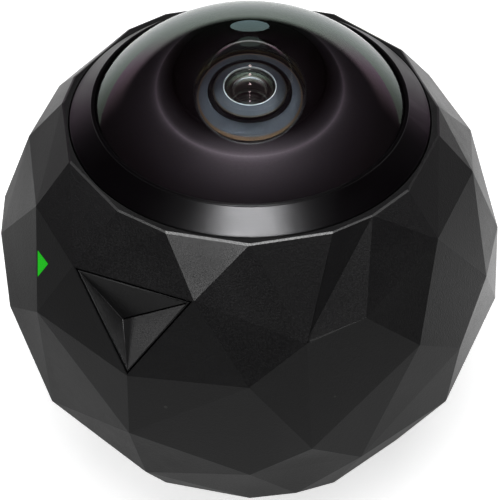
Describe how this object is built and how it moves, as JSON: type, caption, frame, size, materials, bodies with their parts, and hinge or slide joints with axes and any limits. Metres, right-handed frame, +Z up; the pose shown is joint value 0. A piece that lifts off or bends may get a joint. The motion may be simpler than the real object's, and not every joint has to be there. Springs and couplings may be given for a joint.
{
  "type": "360 degree camera",
  "caption": "Faceted black ball camera with one large domed fisheye lens on top, a triangular record button on the front, a status light and a tripod thread below.",
  "frame": {"origin": "on the ball's axis, at the level that the rubber foot ring stands on", "axes": "+Z up, out of the lens along the optical axis; -Y towards the front with the record button; +X to the right when the front is looked at"},
  "size_m": [0.06, 0.0596, 0.0593],
  "materials": {
    "shell_black": "matte soft-touch black",
    "cover_black": "matte black",
    "button_black": "satin black",
    "bezel_black": "satin black anodised, turned",
    "ring_black": "satin black anodised",
    "lens_glass": "coated optical glass",
    "filter_glass": "coated flat glass",
    "light_guide": "clear light guide",
    "seal_rubber": "matte",
    "foot_rubber": "matte",
    "mount_plastic": "matte",
    "chassis_alloy": "cast, plain",
    "steel": "plain",
    "brass": "turned",
    "gold": "gold plated",
    "board": "solder mask",
    "chip": "moulded",
    "shield_steel": "tinned",
    "flex": "polyimide",
    "battery_wrap": "film",
    "foam": "foam"
  },
  "bodies": {
    "camera": {"body_shell": "shell_black", "base_cover": "cover_black", "base_gasket": "seal_rubber", "foot_ring": "foot_rubber", "tripod_insert": "brass", "base_screws": "steel", "charging_contacts": "gold", "contact_board": "board", "lens_bezel": "bezel_black", "dome_lens": "lens_glass", "dome_seal": "seal_rubber", "flange_seal": "seal_rubber", "lens_barrel": "ring_black", "barrel_ring": "ring_black", "cell_ring": "ring_black", "second_lens": "lens_glass", "lens_retainer": "ring_black", "lens_spacer": "ring_black", "third_lens": "lens_glass", "stop_tube": "ring_black", "aperture_stop": "ring_black", "rear_lens": "lens_glass", "lens_mount": "mount_plastic", "ir_filter": "filter_glass", "image_sensor": "chip", "sensor_board": "board", "sensor_screws": "steel", "board_connector": "mount_plastic", "main_board": "board", "processor": "chip", "memory_chips": "chip", "shield_can": "shield_steel", "microphone": "shield_steel", "board_screws": "steel", "chassis": "chassis_alloy", "battery": "battery_wrap", "battery_pad": "foam", "antenna": "flex", "base_flex": "flex", "vibration_motor": "steel", "motor_holder": "seal_rubber", "button_seal": "seal_rubber", "tact_switch": "shield_steel", "switch_board": "board", "status_light": "light_guide", "status_led": "mount_plastic", "light_board": "board"},
    "button": {"record_button": "button_black", "button_clip": "steel"},
    "plunger": {"switch_plunger": "mount_plastic"},
    "weight": {"vibration_weight": "brass"}
  },
  "joints": [
    {"name": "button_press", "type": "slide", "parent": "camera", "child": "button", "axis": [0.4572, 0.7827, -0.4223], "range_m": [0, 0.0004], "stiffness_N_per_m": 1500, "springref_m": -0.0004},
    {"name": "plunger_press", "type": "slide", "parent": "camera", "child": "plunger", "axis": [0.4572, 0.7827, -0.4223], "range_m": [0, 0.0003]},
    {"name": "weight_spin", "type": "hinge", "parent": "camera", "child": "weight", "pos_m": [0.0149, -0.005, 0.0257], "axis": [0, 1, 0], "continuous": true}
  ],
  "couplings": [
    {"joint": "plunger_press", "follows": "button_press", "ratio": 0.75}
  ]
}
